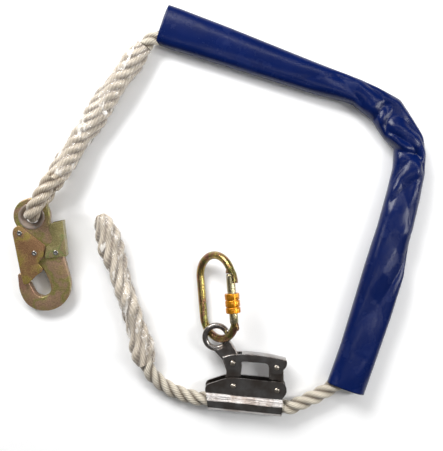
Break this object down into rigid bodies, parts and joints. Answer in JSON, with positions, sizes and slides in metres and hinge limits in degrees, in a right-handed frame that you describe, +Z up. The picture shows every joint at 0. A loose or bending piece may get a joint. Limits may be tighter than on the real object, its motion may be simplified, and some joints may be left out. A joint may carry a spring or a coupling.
{
  "type": "rope grab lanyard",
  "caption": "Manual rope grab on a laid-rope work-positioning lanyard, with screw-gate carabiner, snap hook, sewn-in splices and a sliding protective cover.",
  "frame": {"origin": "on the floor, under the middle of the grab and its carabiner", "axes": "+X along the rope channel, away from the free end, +Y from the channel towards the carabiner, +Z up"},
  "size_m": [0.4576, 0.4574, 0.0493],
  "materials": {
    "stainless": "polished",
    "rivet_nickel": "bright domed",
    "spring_steel": "drawn wire",
    "yellow_zinc": "zinc plated, yellow passivated",
    "pale_zinc": "zinc plated, yellow passivated",
    "orange_anodised": "orange anodised",
    "grey_plastic": "smooth",
    "rope": "three-strand laid polyamide",
    "clear_film": "clear heat-shrink film",
    "blue_cover": "coated cloth, glossy"
  },
  "bodies": {
    "grab": {"grab_body": "stainless", "arm_pivot_rivet": "rivet_nickel", "link_pivot_rivet": "rivet_nickel", "arm_spacer_front": "rivet_nickel", "arm_spacer_back": "rivet_nickel", "link_spacer_back": "rivet_nickel", "cam_return_spring": "spring_steel", "rope_in_grab": "rope", "rope_tail": "rope", "tail_splice": "rope", "tail_shrink_tube": "clear_film", "rope_main": "rope", "hook_splice": "rope", "splice_shrink_tube": "clear_film", "eye_loop": "rope", "rope_sleeve": "blue_cover"},
    "arm": {"cam_arm": "stainless", "handle_arm_rivet": "rivet_nickel"},
    "link": {"rear_link": "stainless"},
    "handle": {"top_handle": "stainless", "handle_link_rivet": "rivet_nickel"},
    "carabiner": {"carabiner_body": "yellow_zinc", "gate_hinge_pin": "rivet_nickel"},
    "gate": {"carabiner_gate": "pale_zinc", "gate_latch_pin": "rivet_nickel", "gate_plunger": "spring_steel", "gate_spring": "spring_steel"},
    "sleeve": {"screw_sleeve": "orange_anodised"},
    "hook": {"hook_body": "yellow_zinc", "hook_gate_rivet": "rivet_nickel", "lever_rivet": "rivet_nickel", "hook_gate_spring": "spring_steel", "lever_spring": "spring_steel", "eye_thimble": "grey_plastic"},
    "hook_gate": {"hook_gate": "yellow_zinc", "hook_stop_rivet": "rivet_nickel"},
    "hook_lever": {"lock_lever": "yellow_zinc"}
  },
  "joints": [
    {"name": "cam_arm_swing", "type": "hinge", "parent": "grab", "child": "arm", "pos_m": [-0.0027, -0.05848, 0.01293], "axis": [0, -0.0872, 0.9962], "range_deg": [-25, 0], "stiffness_Nm_per_rad": 0.3, "springref_deg": 22.92},
    {"name": "rear_link_swing", "type": "hinge", "parent": "grab", "child": "link", "pos_m": [0.0473, -0.05848, 0.01293], "axis": [0, -0.0872, 0.9962], "range_deg": [-25, 0]},
    {"name": "handle_level", "type": "hinge", "parent": "arm", "child": "handle", "pos_m": [-0.0057, -0.03288, 0.01517], "axis": [0, -0.0872, 0.9962], "range_deg": [0, 25]},
    {"name": "carabiner_swing", "type": "hinge", "parent": "arm", "child": "carabiner", "pos_m": [-0.0269, -0.00618, 0.01751], "axis": [0, -0.0872, 0.9962], "range_deg": [-30, 25]},
    {"name": "carabiner_gate_open", "type": "hinge", "parent": "carabiner", "child": "gate", "pos_m": [-0.00959, 0.01732, 0.03784], "axis": [-0.683, -0.1266, 0.7193], "range_deg": [0, 20], "stiffness_Nm_per_rad": 0.05, "springref_deg": -22.92},
    {"name": "screw_sleeve_travel", "type": "slide", "parent": "gate", "child": "sleeve", "axis": [-0.1822, 0.9833, 0], "range_m": [0, 0.0105]},
    {"name": "hook_swing", "type": "hinge", "parent": "grab", "child": "hook", "pos_m": [-0.2475, 0.1099, 0.0231], "axis": [0.0364, -0.1575, 0.9869], "range_deg": [-20, 20]},
    {"name": "hook_gate_open", "type": "hinge", "parent": "hook", "child": "hook_gate", "pos_m": [-0.25892, 0.09045, 0.02042], "axis": [0.0364, -0.1575, 0.9869], "range_deg": [0, 18], "stiffness_Nm_per_rad": 0.1, "springref_deg": -22.92, "deforming": ["hook_gate_spring"]},
    {"name": "lock_lever_squeeze", "type": "hinge", "parent": "hook", "child": "hook_lever", "pos_m": [-0.21774, 0.07211, 0.01597], "axis": [0.0364, -0.1575, 0.9869], "range_deg": [0, 8], "stiffness_Nm_per_rad": 0.3, "springref_deg": -11.46, "deforming": ["lever_spring"]}
  ],
  "couplings": [
    {"joint": "rear_link_swing", "follows": "cam_arm_swing", "ratio": 1},
    {"joint": "handle_level", "follows": "cam_arm_swing", "ratio": -1}
  ]
}
